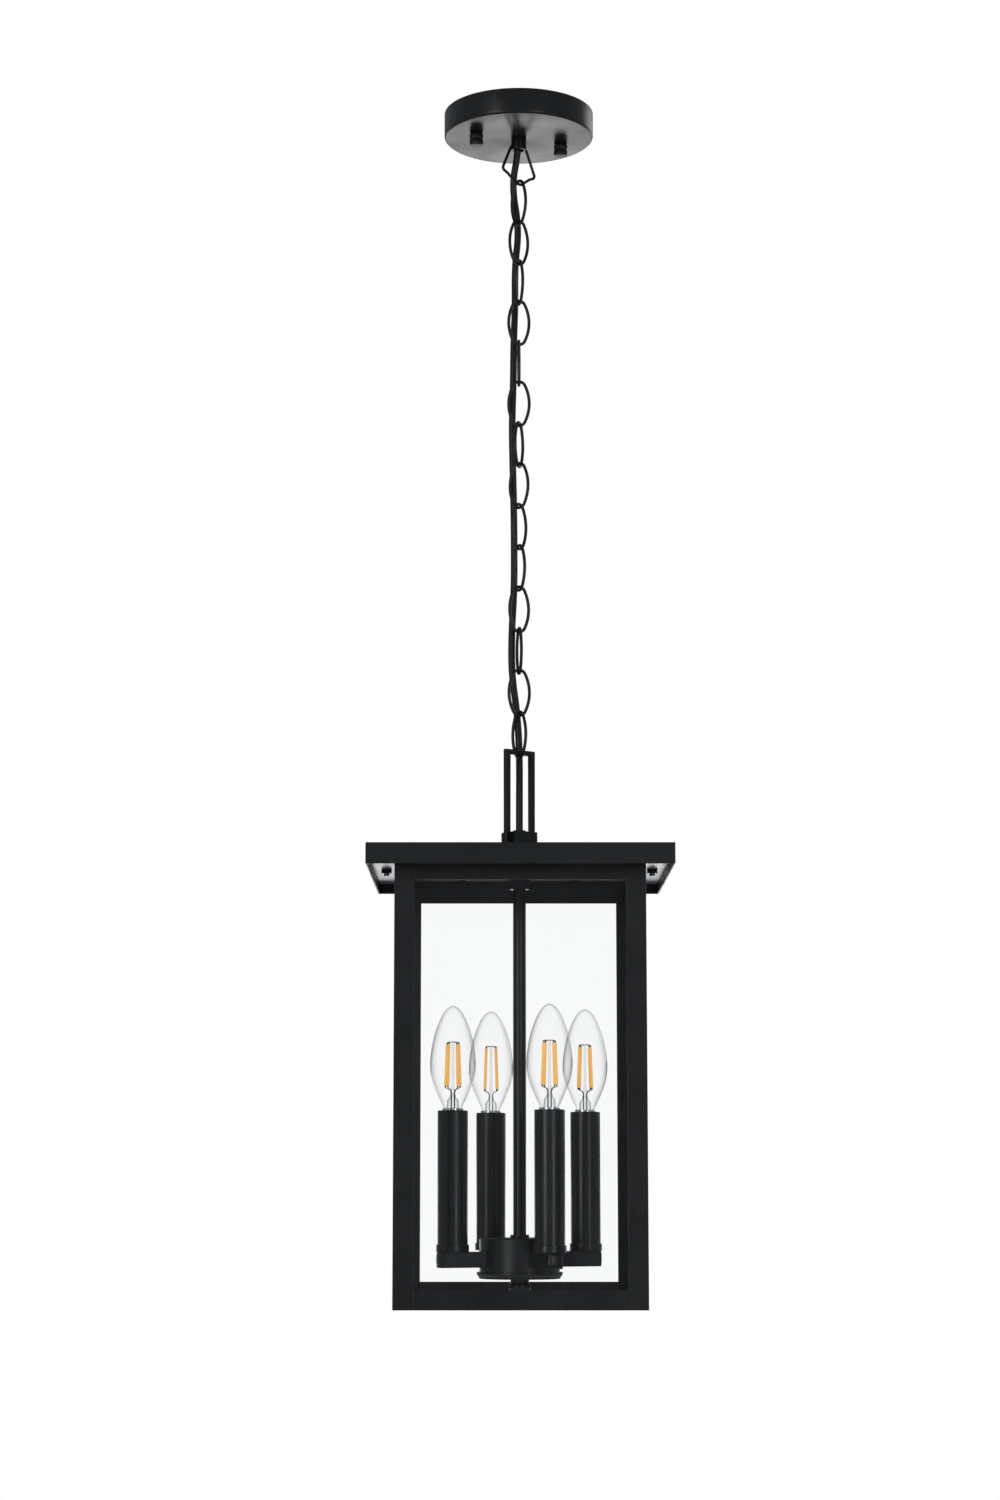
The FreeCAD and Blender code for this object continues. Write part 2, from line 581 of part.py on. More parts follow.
def rails():
    """Flat rails along the top and angle rails along the bottom, between the posts."""
    top_rails = []
    low_rails = []
    long, edge = "cage_wide - 2 * post_wide", "cage_wide / 2 - frame_thick / 2"
    for side, yaw in SIDES.items():
        rail = box(f"top_rail_{side}", "frame_thick", long, "top_rail_tall", edge,
                   z="cage_top - top_rail_tall")
        top_rails.append(place(group(f"top_rail_at_{side}", [rail]), yaw=yaw))
        web = box(f"low_rail_web_{side}", "frame_thick", long, "low_rail_tall", edge, z="cage_low")
        ledge = box(f"low_rail_ledge_{side}", "shelf", long, "frame_thick",
                    "cage_wide / 2 - shelf / 2", z="cage_low")
        low_rails.append(place(fuse(f"low_rail_{side}", web, ledge), yaw=yaw))
    node("top_rails", group("top_rails", top_rails))
    node("bottom_rails", group("bottom_rails", low_rails))


def glazing():
    """Four panes standing on the bottom rails, held by small angle clips."""
    clips = []
    face = "cage_wide / 2 - frame_thick"
    ledge = "cage_low + frame_thick"
    back = f"{face} - pane_thick"
    for side, yaw in SIDES.items():
        pane = box(f"pane_{side}", "pane_thick", "pane_wide", f"pane_top - ({ledge})",
                   f"{face} - pane_thick / 2", z=ledge)
        turned_pane = place(group(f"glass_pane_{side}", [pane]), yaw=yaw)
        node(f"glass_pane_{side}", turned_pane)
        for hand in (-1, 1):
            y = f"{hand} * clip_place"
            for end, foot, web_foot in (("top", "cage_top - clip_thick", "cage_top - clip_tall"),
                                        ("low", ledge, ledge)):
                name = f"clip_{side}_{end}_{hand}"
                web = box(name + "_web", "clip_thick", "clip_wide", "clip_tall",
                          f"{back} - clip_thick / 2", y, web_foot)
                leg = box(name + "_leg", "clip_wide", "clip_wide", "clip_thick",
                          f"{back} - clip_wide / 2", y, foot)
                clips.append(place(fuse(name, web, leg), yaw=yaw))
    node("glass_clips", group("glass_clips", clips))


# ---------------------------------------------------------------- build, check and write

def write_all():
    """Check every object and write each sub-part to its own file."""
    doc.recompute()
    for thing in doc.Objects:
        if {"Invalid", "Error"} & set(thing.State):
            raise RuntimeError(f"{thing.Label} failed: {thing.State}")
    os.makedirs("parts", exist_ok=True)
    for name, thing in nodes.items():
        if thing.Shape.isNull() or not thing.Shape.isValid() or not thing.Shape.Solids:
            raise RuntimeError(f"{name} has no valid solid")
        if any(solid.Volume <= 0 for solid in thing.Shape.Solids):
            raise RuntimeError(f"{name} is inside out")
        thing.Shape.exportStep(os.path.join("parts", name + ".step"))
    print(len(nodes), "nodes written")


canopy()
crossbar()
crossbar_nipple()
canopy_fasteners()
canopy_collar()
bail_loop()
chain()
supply_cord()
hanger_loop()
hanger_block()
roof()
stem()
hub()
around("lamp_arms", lamp_arm)
around("arm_plugs", arm_plug)
around("arm_leads", arm_lead)
candles()
lamps()
corner_posts()
rails()
glazing()
write_all()
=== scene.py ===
"""The looks of the hanging lantern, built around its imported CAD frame. Lengths are in metres."""
import json
import math

import bmesh
import bpy
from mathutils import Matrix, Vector

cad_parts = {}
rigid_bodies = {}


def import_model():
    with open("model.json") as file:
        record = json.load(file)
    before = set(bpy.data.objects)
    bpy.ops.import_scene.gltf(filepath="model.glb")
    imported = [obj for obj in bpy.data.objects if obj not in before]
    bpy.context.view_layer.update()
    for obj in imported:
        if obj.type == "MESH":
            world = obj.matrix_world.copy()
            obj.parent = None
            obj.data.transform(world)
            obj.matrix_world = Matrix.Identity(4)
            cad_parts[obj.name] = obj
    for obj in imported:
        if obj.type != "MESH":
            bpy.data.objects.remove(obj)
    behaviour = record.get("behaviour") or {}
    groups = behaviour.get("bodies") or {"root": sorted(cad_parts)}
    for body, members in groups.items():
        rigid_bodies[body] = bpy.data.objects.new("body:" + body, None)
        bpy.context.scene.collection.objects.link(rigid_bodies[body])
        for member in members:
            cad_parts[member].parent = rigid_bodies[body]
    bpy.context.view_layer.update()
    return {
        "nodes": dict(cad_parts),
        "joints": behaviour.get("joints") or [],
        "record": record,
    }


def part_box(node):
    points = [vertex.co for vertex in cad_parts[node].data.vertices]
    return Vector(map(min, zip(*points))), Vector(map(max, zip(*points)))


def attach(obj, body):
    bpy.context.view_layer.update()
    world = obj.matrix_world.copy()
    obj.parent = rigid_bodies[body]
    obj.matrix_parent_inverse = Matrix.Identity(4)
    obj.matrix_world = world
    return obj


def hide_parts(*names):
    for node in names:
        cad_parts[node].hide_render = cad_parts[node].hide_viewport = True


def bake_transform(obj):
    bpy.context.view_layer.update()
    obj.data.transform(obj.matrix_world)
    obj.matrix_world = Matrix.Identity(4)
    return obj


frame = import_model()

MM = 0.001
NODES = frame["nodes"]
LINKS = [f"link_{number:02d}" for number in range(1, 15)]
PIVOTS = {joint["child"]: Vector(joint["pos_m"]) for joint in frame["joints"]}


# ---------------------------------------------------------------- camera, floor and light

CAMERA_PLACE = (-0.0152, -2.3, -0.8639)
CAMERA_TILT = 8.442     # degrees above the horizon
SENSOR_WIDTH = 36       # mm
FOCAL_LENGTH = 70.82    # mm
FLOOR_LEVEL = -3.4
FLOOR_RADIUS = 12
STUDIO_TARGET = (0, 0, -0.7)
# Each softbox: its place, what it faces, its width and height, and its power in watts.
SOFTBOXES = {
    "key": ((-1.45, -2.05, -0.35), STUDIO_TARGET, 0.55, 1.9, 10),
    "fill": ((1.15, -2.2, -0.6), STUDIO_TARGET, 0.45, 1.9, 6),
    "rim": ((1.6, 1.9, 0.2), STUDIO_TARGET, 1.2, 1.6, 9),
    "sweep": ((0, 3.4, -1.25), (0, 0, -0.2), 4.5, 0.9, 28),
}


def camera():
    """A long lens level with the lantern's lower half, tilted up. Standard keeps white white."""
    data = bpy.data.cameras.new("camera")
    data.sensor_width = SENSOR_WIDTH
    data.lens = FOCAL_LENGTH
    data.clip_end = 50
    eye = bpy.data.objects.new("camera", data)
    eye.location = CAMERA_PLACE
    eye.rotation_euler = (math.radians(90 + CAMERA_TILT), 0, 0)
    bpy.context.collection.objects.link(eye)
    bpy.context.scene.camera = eye
    bpy.context.scene.view_settings.view_transform = "Standard"


def mix_shaders(tree, factor, first, second, output):
    """Send one shader to an output where factor is 0 and another where it is 1."""
    mix = tree.nodes.new("ShaderNodeMixShader")
    tree.links.new(factor, mix.inputs[0])
    tree.links.new(first.outputs[0], mix.inputs[1])
    tree.links.new(second.outputs[0], mix.inputs[2])
    tree.links.new(mix.outputs[0], tree.nodes[output].inputs["Surface"])


def floor():
    """A plain floor well below the lantern: pale to the light, and white to the camera."""
    mesh = bpy.data.meshes.new("floor")
    shape = bmesh.new()
    bmesh.ops.create_circle(shape, cap_ends=True, segments=64, radius=FLOOR_RADIUS)
    shape.to_mesh(mesh)
    shape.free()
    disc = bpy.data.objects.new("floor", mesh)
    disc.location.z = FLOOR_LEVEL
    bpy.context.collection.objects.link(disc)
    paint = bpy.data.materials.new("floor_paint")
    paint.use_nodes = True
    tree = paint.node_tree
    shader = tree.nodes["Principled BSDF"]
    shader.inputs["Base Color"].default_value = (0.9, 0.9, 0.9, 1)
    shader.inputs["Roughness"].default_value = 0.9
    glow = tree.nodes.new("ShaderNodeEmission")
    glow.inputs["Strength"].default_value = 1.0
    path = tree.nodes.new("ShaderNodeLightPath")
    mix_shaders(tree, path.outputs["Is Camera Ray"], shader, glow, "Material Output")
    mesh.materials.append(paint)


def softbox(name, place, target, wide, tall, power):
    """A rectangular lamp that faces the target and shows only in what it lights."""
    data = bpy.data.lights.new(name, "AREA")
    data.shape = "RECTANGLE"
    data.size = wide
    data.size_y = tall
    data.energy = power
    lamp = bpy.data.objects.new(name, data)
    lamp.location = place
    lamp.rotation_euler = (Vector(target) - Vector(place)).to_track_quat("-Z", "Y").to_euler()
    lamp.visible_camera = False
    bpy.context.collection.objects.link(lamp)


def studio():
    """White to the camera, dim and bluish as light, with softboxes that draw long highlights."""
    world = bpy.data.worlds.new("studio")
    bpy.context.scene.world = world
    world.use_nodes = True
    tree = world.node_tree
    back = tree.nodes["Background"]
    back.inputs["Color"].default_value = (1, 1, 1, 1)
    back.inputs["Strength"].default_value = 1.0
    dim = tree.nodes.new("ShaderNodeBackground")
    dim.inputs["Color"].default_value = (0.86, 0.93, 1, 1)
    dim.inputs["Strength"].default_value = 0.25
    path = tree.nodes.new("ShaderNodeLightPath")
    mix_shaders(tree, path.outputs["Is Camera Ray"], dim, back, "World Output")
    for name, settings in SOFTBOXES.items():
        softbox(name, *settings)


# ---------------------------------------------------------------- materials

BROAD_NOISE = 22            # how fine the drift in colour and gloss is
DARKER, LIGHTER = 0.8, 1.25     # the colour's range over that drift
GLOSS_DRIFT = 0.05
CLOUD_NOISE = 14            # how fine the drift in a glass's painted rim shade is
MIRROR_POWER = 5            # how late a glass turns to a mirror towards grazing angles
MIRROR_SHARE = 0.012, 0.8   # how much it mirrors head-on and at grazing angles


def noise(tree, scale, detail):
    """Noise in the object's own metres."""
    coords = tree.nodes.new("ShaderNodeTexCoord")
    texture = tree.nodes.new("ShaderNodeTexNoise")
    texture.inputs["Scale"].default_value = scale
    texture.inputs["Detail"].default_value = detail
    texture.inputs["Roughness"].default_value = 0.55
    tree.links.new(coords.outputs["Object"], texture.inputs["Vector"])
    return texture.outputs["Fac"]


def spread(tree, value, low, high, start=0.35, end=0.65):
    """A value stretched to run from low to high."""
    ramp = tree.nodes.new("ShaderNodeMapRange")
    ramp.inputs["From Min"].default_value = start
    ramp.inputs["From Max"].default_value = end
    ramp.inputs["To Min"].default_value = low
    ramp.inputs["To Max"].default_value = high
    tree.links.new(value, ramp.inputs["Value"])
    return ramp.outputs["Result"]


def blend_colours(tree, factor, first, second):
    """One colour where factor is 0 and another where it is 1."""
    mix = tree.nodes.new("ShaderNodeMix")
    mix.data_type = "RGBA"
    for socket, colour in (("A", first), ("B", second)):
        target = next(s for s in mix.inputs if s.name == socket and s.type == "RGBA")
        if isinstance(colour, tuple):
            target.default_value = (*colour, 1)
        else:
            tree.links.new(colour, target)
    tree.links.new(factor, mix.inputs[0])
    return next(s for s in mix.outputs if s.type == "RGBA")


def finish(name, colour, rough, metallic=0.0, grain=700, depth=0.004, edge=0.0, strength=0.35,
           glow=0.0):
    """A surface with mottled colour and gloss, grain depth mm deep and, along its edges, a painted
    highlight that lightens the colour.
    """
    paint = bpy.data.materials.new(name)
    paint.use_nodes = True
    tree = paint.node_tree
    shader = tree.nodes["Principled BSDF"]
    shader.inputs["Metallic"].default_value = metallic
    shader.inputs["Emission Color"].default_value = (*colour, 1)
    shader.inputs["Emission Strength"].default_value = glow
    broad = noise(tree, BROAD_NOISE, 4)
    fine = noise(tree, grain, 2)
    dark = tuple(channel * DARKER for channel in colour)
    light = tuple(min(1, channel * LIGHTER) for channel in colour)
    shade = blend_colours(tree, spread(tree, broad, 0, 1), dark, light)
    gloss = spread(tree, broad, rough - GLOSS_DRIFT, rough + GLOSS_DRIFT)
    bump = tree.nodes.new("ShaderNodeBump")
    bump.inputs["Strength"].default_value = strength
    bump.inputs["Distance"].default_value = depth * MM
    tree.links.new(fine, bump.inputs["Height"])
    # Along the edges the colour is lightened towards the lighter tone: a painted highlight.
    if edge:
        soft = tree.nodes.new("ShaderNodeBevel")
        soft.samples = 6
        soft.inputs["Radius"].default_value = edge
        tree.links.new(soft.outputs[0], bump.inputs["Normal"])
        flat = tree.nodes.new("ShaderNodeNewGeometry")
        dot = tree.nodes.new("ShaderNodeVectorMath")
        dot.operation = "DOT_PRODUCT"
        tree.links.new(soft.outputs[0], dot.inputs[0])
        tree.links.new(flat.outputs["Normal"], dot.inputs[1])
        painted_edge_highlight = spread(tree, dot.outputs["Value"], 0.5, 0.0, 0.80, 0.985)
        shade = blend_colours(tree, painted_edge_highlight, shade, light)
    tree.links.new(shade, shader.inputs["Base Color"])
    tree.links.new(gloss, shader.inputs["Roughness"])
    tree.links.new(bump.outputs[0], shader.inputs["Normal"])
    return paint


def clear_glass(name, tint, rim, tightness):
    """Thin clear glass: a mirror that grows towards grazing angles, and a rim painted darker towards
    grazing angles, a painted shade for its outline.
    """
    glass = bpy.data.materials.new(name)
    glass.use_nodes = True
    tree = glass.node_tree
    tree.nodes.remove(tree.nodes["Principled BSDF"])
    slant = tree.nodes.new("ShaderNodeLayerWeight")
    slant.inputs["Blend"].default_value = 0.5
    steep = {}
    for use, power in (("mirror", MIRROR_POWER), ("rim", tightness)):
        steep[use] = tree.nodes.new("ShaderNodeMath")
        steep[use].operation = "POWER"
        steep[use].inputs[1].default_value = power
        tree.links.new(slant.outputs["Facing"], steep[use].inputs[0])
    cloud = spread(tree, noise(tree, CLOUD_NOISE, 2), 0.85, 1.0)
    painted_rim_shade = tree.nodes.new("ShaderNodeMath")
    painted_rim_shade.operation = "MULTIPLY"
    tree.links.new(steep["rim"].outputs[0], painted_rim_shade.inputs[0])
    tree.links.new(cloud, painted_rim_shade.inputs[1])
    through = tree.nodes.new("ShaderNodeBsdfTransparent")
    # Towards grazing angles the see-through colour turns to the rim colour: painted shade along the
    # glass's outline.
    tree.links.new(blend_colours(tree, painted_rim_shade.outputs[0], tint, rim), through.inputs["Color"])
    mirror = tree.nodes.new("ShaderNodeBsdfAnisotropic")
    mirror.inputs["Color"].default_value = (1, 1, 1, 1)
    mirror.inputs["Roughness"].default_value = 0.03
    share = spread(tree, steep["mirror"].outputs[0], *MIRROR_SHARE, 0, 1)
    mix_shaders(tree, share, through, mirror, "Material Output")
    return glass


BLACK = (0.0085, 0.009, 0.0098)
# A finish given an edge radius has its edges painted lighter: a painted highlight.
FINISHES = {
    "black_paint": finish("powder_coat", BLACK, 0.38, strength=0.12),
    "wire_paint": finish("wire_coat", BLACK, 0.34, strength=0.05),
    "sleeve_paint": finish("satin_paint", BLACK, 0.3, grain=500, depth=0.002, strength=0.05),
    "hardware_steel": finish("zinc_steel", (0.52, 0.52, 0.5), 0.34, metallic=1.0, grain=900,
                             edge=0.0003),
    "earth_green": finish("earth_paint", (0.03, 0.25, 0.07), 0.35, metallic=0.6, grain=900,
                          edge=0.0003),
    "plate_finish": finish("plate_paint", (0.36, 0.37, 0.385), 0.33, metallic=0.5, grain=800,
                           edge=0.0004),
    "cord_jacket": finish("cord_jacket", (0.009, 0.009, 0.0095), 0.42, grain=900, depth=0.008,
                          strength=0.1),
    "socket_plastic": finish("phenolic", (0.62, 0.6, 0.54), 0.5, grain=900, depth=0.01,
                             edge=0.0003),
    "lamp_base": finish("nickel_base", (0.9, 0.89, 0.86), 0.18, metallic=0.9, grain=900,
                        depth=0.003),
    # The strips are given a faint glow of their own: painted light, as the lamps are not lit.
    "filament": finish("phosphor_painted_glow", (0.95, 0.50, 0.13), 0.55, grain=1600, depth=0.02, glow=0.55),
    "lead_wire": finish("nickel_wire", (0.06, 0.059, 0.057), 0.35, metallic=0.5, grain=1500,
                        depth=0.002),
    # Each glass's last colour is its rim: painted shade along its outline, for the panes also tinted
    # the glass's own green.
    "pane_glass": clear_glass("pane_glass", (0.994, 0.997, 0.998), (0.45, 0.5, 0.49), 7),
    "lamp_glass": clear_glass("lamp_glass", (0.992, 0.992, 0.992), (0.02, 0.021, 0.022), 3),
    "foot_glass": clear_glass("foot_glass", (0.93, 0.935, 0.94), (0.04, 0.042, 0.045), 2),
}
ROUND_NODES = ["bail_loop", "canopy_screws"] + [f"chain_{link}" for link in LINKS]


def dress_nodes():
    """Give every CAD node the finish of its slot in the record."""
    for entry in frame["record"]["subparts"]:
        slot = entry["material_slot"]
        if entry["node"] in ROUND_NODES:
            slot = "wire_paint"
        mesh = NODES[entry["node"]].data
        mesh.materials.clear()
        mesh.materials.append(FINISHES[slot])


# ---------------------------------------------------------------- mesh helpers

CREASE = math.radians(38)


def across(angle):
    """The level direction at an angle from +X."""
    return Vector((math.cos(angle), math.sin(angle), 0))


def up(rise):
    """A step straight up."""
    return Vector((0, 0, rise))


def piece(name, mesh, body, slot, *replaced, finish_name=None):
    """A finished mesh as an object that rides on a body and stands for CAD nodes."""
    thing = bpy.data.objects.new(name, mesh)
    bpy.context.collection.objects.link(thing)
    mesh.materials.append(FINISHES[finish_name or slot])
    if body:
        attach(thing, body)
    if replaced:
        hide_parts(*replaced)
    return thing


def lathe(shape, profile, centre, segments=48, closed=True):
    """Turn a profile of (radius, level) points about the upright line through centre."""
    rings = []
    for radius, level in profile:
        if radius < 1e-7:
            rings.append([shape.verts.new((centre[0], centre[1], level))])
            continue
        ring = []
        for step in range(segments):
            turn = 2 * math.pi * step / segments
            ring.append(shape.verts.new((centre[0] + radius * math.cos(turn),
                                         centre[1] + radius * math.sin(turn), level)))
        rings.append(ring)
    pairs = list(zip(rings, rings[1:]))
    if closed:
        pairs.append((rings[-1], rings[0]))
    for lower, upper in pairs:
        for step in range(segments):
            onward = (step + 1) % segments
            if len(lower) == 1 and len(upper) == 1:
                break
            if len(lower) == 1:
                corners = (lower[0], upper[onward], upper[step])
            elif len(upper) == 1:
                corners = (lower[step], lower[onward], upper[0])
            else:
                corners = (lower[step], lower[onward], upper[onward], upper[step])
            shape.faces.new(corners).smooth = True


def tube(shape, points, radius, segments):
    """A round bar through points, with its ends closed."""
    rings = []
    side = None
    for index, point in enumerate(points):
        ahead = points[min(index + 1, len(points) - 1)] - points[max(index - 1, 0)]
        ahead.normalize()
        if side is None:
            side = ahead.orthogonal().normalized()
        side = (side - ahead * side.dot(ahead)).normalized()
        other = ahead.cross(side)
        ring = []
        for step in range(segments):
            turn = 2 * math.pi * step / segments
            out = side * math.cos(turn) + other * math.sin(turn)
            ring.append(shape.verts.new(point + out * radius))
        rings.append(ring)
    for lower, upper in zip(rings, rings[1:]):
        for step in range(segments):
            onward = (step + 1) % segments
            shape.faces.new((lower[step], lower[onward], upper[onward], upper[step])).smooth = True
    shape.faces.new(list(reversed(rings[0])))
    shape.faces.new(rings[-1])


def mesh_from(shape, name):
    """A mesh with its normals outwards and its sharp edges kept."""
    bmesh.ops.recalc_face_normals(shape, faces=shape.faces)
    for edge in shape.edges:
        if len(edge.link_faces) == 2 and edge.calc_face_angle(0) > CREASE:
            edge.smooth = False
    mesh = bpy.data.meshes.new(name)
    shape.to_mesh(mesh)
    shape.free()
    return mesh


# ---------------------------------------------------------------- supply cord

# The cord's route: the CAD route's points, in metres.
CORD_ROUTE = [
    (0, 0, -0.004), (0, 0, -0.03), (-0.0057, 0.0082, -0.0573), (0.0004, 0.0154, -0.0909),
    (-0.0032, 0.0143, -0.1245), (-0.0029, 0.0104, -0.158), (-0.0042, 0.0065, -0.1916),
    (-0.0045, 0.0053, -0.2251), (-0.0056, 0.006, -0.2587), (-0.0049, 0.0075, -0.2922),
    (-0.0041, 0.0085, -0.3258), (-0.0038, 0.0116, -0.3593), (-0.0039, 0.0113, -0.3929),
    (-0.0059, 0.0067, -0.4264), (-0.0061, 0.0066, -0.46), (-0.0013, 0.0091, -0.4935),
    (0.0003, 0.0076, -0.527), (0, 0, -0.566), (0, 0, -0.594),
]
CORD_RADIUS = 0.0028


def cord_line():
    """Points along the route's smooth line."""
    data = bpy.data.curves.new("cord_line", "CURVE")
    data.dimensions = "3D"
    data.resolution_u = 16
    spline = data.splines.new("NURBS")
    spline.points.add(len(CORD_ROUTE) - 1)
    for point, place in zip(spline.points, CORD_ROUTE):
        point.co = (*place, 1)
    spline.order_u = 3
    spline.use_endpoint_u = True
    line = bpy.data.objects.new("cord_line", data)
    bpy.context.collection.objects.link(line)
    bpy.context.view_layer.update()
    mesh = bpy.data.meshes.new_from_object(line)
    points = [vertex.co.copy() for vertex in mesh.vertices]
    bpy.data.objects.remove(line)
    bpy.data.meshes.remove(mesh)
    return points


def stretch(points, high, low):
    """The part of a downward line between two levels, with its ends cut there."""
    cut = []
    for before, after in zip(points, points[1:]):
        for level in (high, low):
            if before.z > level > after.z:
                cut.append(before.lerp(after, (before.z - level) / (before.z - after.z)))
        if high > after.z > low:
            cut.append(after)
    if points[0].z <= high:
        cut.insert(0, points[0])
    if points[-1].z >= low:
        cut.append(points[-1])
    return cut


def supply_cord():
    """The cord in lengths that each span one joint of the chain."""
    line = cord_line()
    bodies = ["ceiling_mount", "bail"] + LINKS + ["lantern"]
    middles = [line[0].z + 0.001, (PIVOTS["bail"].z + PIVOTS["link_01"].z) / 2]
    for upper, lower in zip(LINKS, LINKS[1:] + ["lantern"]):
        middles.append((PIVOTS[upper].z + PIVOTS[lower].z) / 2)
    middles.append(line[-1].z - 0.001)
    for index, (upper, lower) in enumerate(zip(bodies, bodies[1:])):
        shape = bmesh.new()
        tube(shape, stretch(line, middles[index], middles[index + 1]), CORD_RADIUS, 20)
        name = f"supply_cord_{index + 1:02d}"
        length = piece(name, mesh_from(shape, name), None, "cord_jacket", "supply_cord")
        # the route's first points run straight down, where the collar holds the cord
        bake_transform(length)


# ---------------------------------------------------------------- lamps

CANDLES = [math.radians(23.5 + 90 * quarter) for quarter in range(4)]
RING = 0.056
CENTRES = [(RING * math.cos(angle), RING * math.sin(angle)) for angle in CANDLES]
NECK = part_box("bulb_glass")[0][2]
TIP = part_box("bulb_glass")[1][2]
LAMP_RADIUS = 0.0175
# The glass's outline: shares of its height above the neck and of its greatest radius.
FLAME = [(0, 0.40), (0.043, 0.42), (0.144, 0.64), (0.287, 0.905), (0.43, 1.0), (0.575, 0.95),
         (0.72, 0.82), (0.86, 0.59), (0.93, 0.42), (0.97, 0.27), (0.992, 0.13), (1, 0)]
# The glass foot and the rod on it: radii and levels above the neck.
FOOT = [(0, 0.0012), (0.0047, 0.0012), (0.0046, 0.003), (0.0043, 0.0085), (0.0041, 0.0105),
        (0.0034, 0.0128), (0.0024, 0.0146), (0.0017, 0.0162), (0.0012, 0.0185),
        (0.0010, 0.0205), (0.0009, 0.0515), (0.0012, 0.0528), (0, 0.0534)]
PINCH = 0.0105, 0.018   # the levels between which the foot is pinched flat
WIRE_RADIUS = 0.00028
CLIP_RADIUS = 0.00062
CLIP_REACH = 0.0012
STRIP_RADIUS = 0.0011
STRIP_SIDES = 12
STRIP_LOW = 0.0068, 0.0195      # a strip's lower end: out from the rod, and above the neck
STRIP_HIGH = 0.0054, 0.0515
# How far each lamp is screwed round.
LAMP_TURNS = [math.radians(angle) for angle in (-9, 2, 12, -11)]
THREADS = 5
THREAD_PITCH = 0.0026


def smooth_profile(points):
    """The given points with Catmull-Rom points between them."""
    steps = 5
    padded = [points[0]] + points + [points[-1]]
    result = []
    for a, b, c, d in zip(padded, padded[1:], padded[2:], padded[3:]):
        for step in range(steps):
            t = step / steps
            result.append(tuple(
                0.5 * (2 * b[k] + (c[k] - a[k]) * t + (2 * a[k] - 5 * b[k] + 4 * c[k] - d[k]) * t * t
                       + (3 * b[k] - a[k] - 3 * c[k] + d[k]) * t ** 3) for k in (0, 1)))
    result.append(points[-1])
    return result


def lamp_glass(name, centre):
    """The flame-shaped envelope, closed at its neck."""
    outline = [(LAMP_RADIUS * width, NECK + (TIP - NECK) * share)
               for share, width in smooth_profile(FLAME)]
    outline[-1] = (0, TIP)
    shape = bmesh.new()
    lathe(shape, [(0, NECK)] + outline, centre, closed=False)
    return mesh_from(shape, name)


def lamp_mount(name, centre, turn):
    """The pinched glass foot and the thin glass rod that carry the filaments."""
    shape = bmesh.new()
    lathe(shape, [(radius, NECK + level) for radius, level in FOOT], centre, 24, closed=False)
    for vertex in shape.verts:
        if PINCH[0] < vertex.co.z - NECK < PINCH[1]:
            offset = vertex.co - Vector((centre[0], centre[1], vertex.co.z))
            vertex.co -= across(turn) * offset.dot(across(turn)) * 0.4
    return mesh_from(shape, name)


def strip_sides(turn):
    """The directions from the glass rod to its four strips."""
    return [across(turn + math.pi / 4 + index * math.pi / 2) for index in range(4)]


def strip_ends(base, out):
    """A strip's two ends: it leans in a little towards the top."""
    return [base + out * reach + up(level) for reach, level in (STRIP_LOW, STRIP_HIGH)]


def lamp_wires(name, centre, turn):
    """Wires from the foot to each strip and on to the rod's top, with a clip at each joint."""
    shape = bmesh.new()
    base = Vector((centre[0], centre[1], NECK))
    for out in strip_sides(turn):
        low, high = strip_ends(base, out)
        foot = [base + out * reach + up(level)
                for reach, level in ((0.0018, 0.0015), (0.0016, 0.0140), (0.0030, 0.0168))]
        tube(shape, foot + [low - up(0.0014), low], WIRE_RADIUS, 8)
        tube(shape, [high, high + up(0.0014), base + out * 0.0008 + up(0.0532)], WIRE_RADIUS, 8)
        for end, way in ((low, -1), (high, 1)):
            clip = up(way * CLIP_REACH)
            tube(shape, [end - clip * 0.6, end + clip], CLIP_RADIUS, 8)
    return mesh_from(shape, name)


def lamp_filaments(name, centre, turn):
    """Four coated strips round the glass rod, each a little thinner at its ends."""
    shape = bmesh.new()
    base = Vector((centre[0], centre[1], NECK))
    for out in strip_sides(turn):
        low, high = strip_ends(base, out)
        along = [low.lerp(high, share) for share in (0, 0.012, 0.03, 0.5, 0.97, 0.988, 1)]
        start = len(shape.verts)
        tube(shape, along, STRIP_RADIUS, STRIP_SIDES)
        shape.verts.ensure_lookup_table()
        for ring, squeeze in ((0, 0.45), (1, 0.85), (5, 0.85), (6, 0.45)):
            first = start + ring * STRIP_SIDES
            for vertex in shape.verts[first:first + STRIP_SIDES]:
                vertex.co = along[ring] + (vertex.co - along[ring]) * squeeze
    return mesh_from(shape, name)


def lamp_base(name, centre):
    """The screw base: a plain collar under the glass, a rolled thread and a tip."""
    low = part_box("bulb_bases")[0][2]
    profile = [(0, low), (0.0022, low), (0.0024, low + 0.0012), (0.0046, low + 0.0022)]
    for turn in range(THREADS):
        level = low + 0.0034 + turn * THREAD_PITCH
        profile += [(0.0054, level), (0.0059, level + 0.0006), (0.0059, level + 0.0012),
                    (0.0054, level + 0.0019)]
    profile += [(0.0058, NECK - 0.0035), (0.0077, NECK - 0.0012), (0.0081, NECK + 0.0020),
                (0.0079, NECK + 0.0025), (0.0076, NECK + 0.0023), (0.0073, NECK - 0.0001),
                (0, NECK - 0.0001)]
    shape = bmesh.new()
    lathe(shape, profile, centre, 36, closed=False)
    return mesh_from(shape, name)


